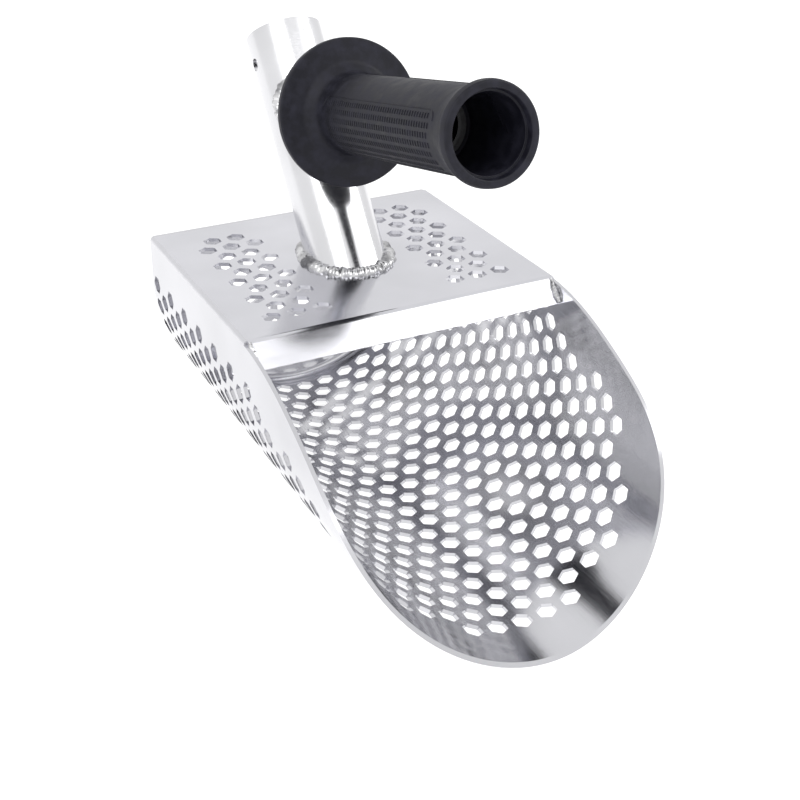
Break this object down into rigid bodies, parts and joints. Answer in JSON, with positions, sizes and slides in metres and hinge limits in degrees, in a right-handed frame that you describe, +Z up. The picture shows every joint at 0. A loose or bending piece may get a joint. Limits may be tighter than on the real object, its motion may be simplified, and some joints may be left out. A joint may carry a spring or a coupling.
{
  "type": "beach sand scoop",
  "caption": "Perforated stainless sand scoop with a half-round trough, a leaning pole socket and a flanged rubber grip.",
  "frame": {"origin": "middle of the footprint, at the height of the lowest line of the half-round floor", "axes": "+Z up from the floor towards the top plate, mouth and digging edge towards -Y, +X to the right when looking along +Y into the mouth; X = 0 is the plane of symmetry"},
  "size_m": [0.175, 0.3212, 0.2522],
  "materials": {
    "stainless_sheet": "polished sheet with fine scratches",
    "stainless_tube": "polished tube",
    "weld_metal": "rippled weld bead with heat tint",
    "grip_rubber": "matte moulded rubber"
  },
  "bodies": {
    "root": {"body_shell": "stainless_sheet", "top_plate": "stainless_sheet", "back_cap": "stainless_sheet", "cap_seam_weld": "weld_metal", "side_seam_weld_left": "weld_metal", "side_seam_weld_right": "weld_metal", "lip_weld_left": "weld_metal", "lip_weld_right": "weld_metal", "pole_socket": "stainless_tube", "socket_weld": "weld_metal", "grip_tube": "stainless_tube", "grip_tube_weld": "weld_metal", "grip": "grip_rubber"}
  },
  "joints": []
}
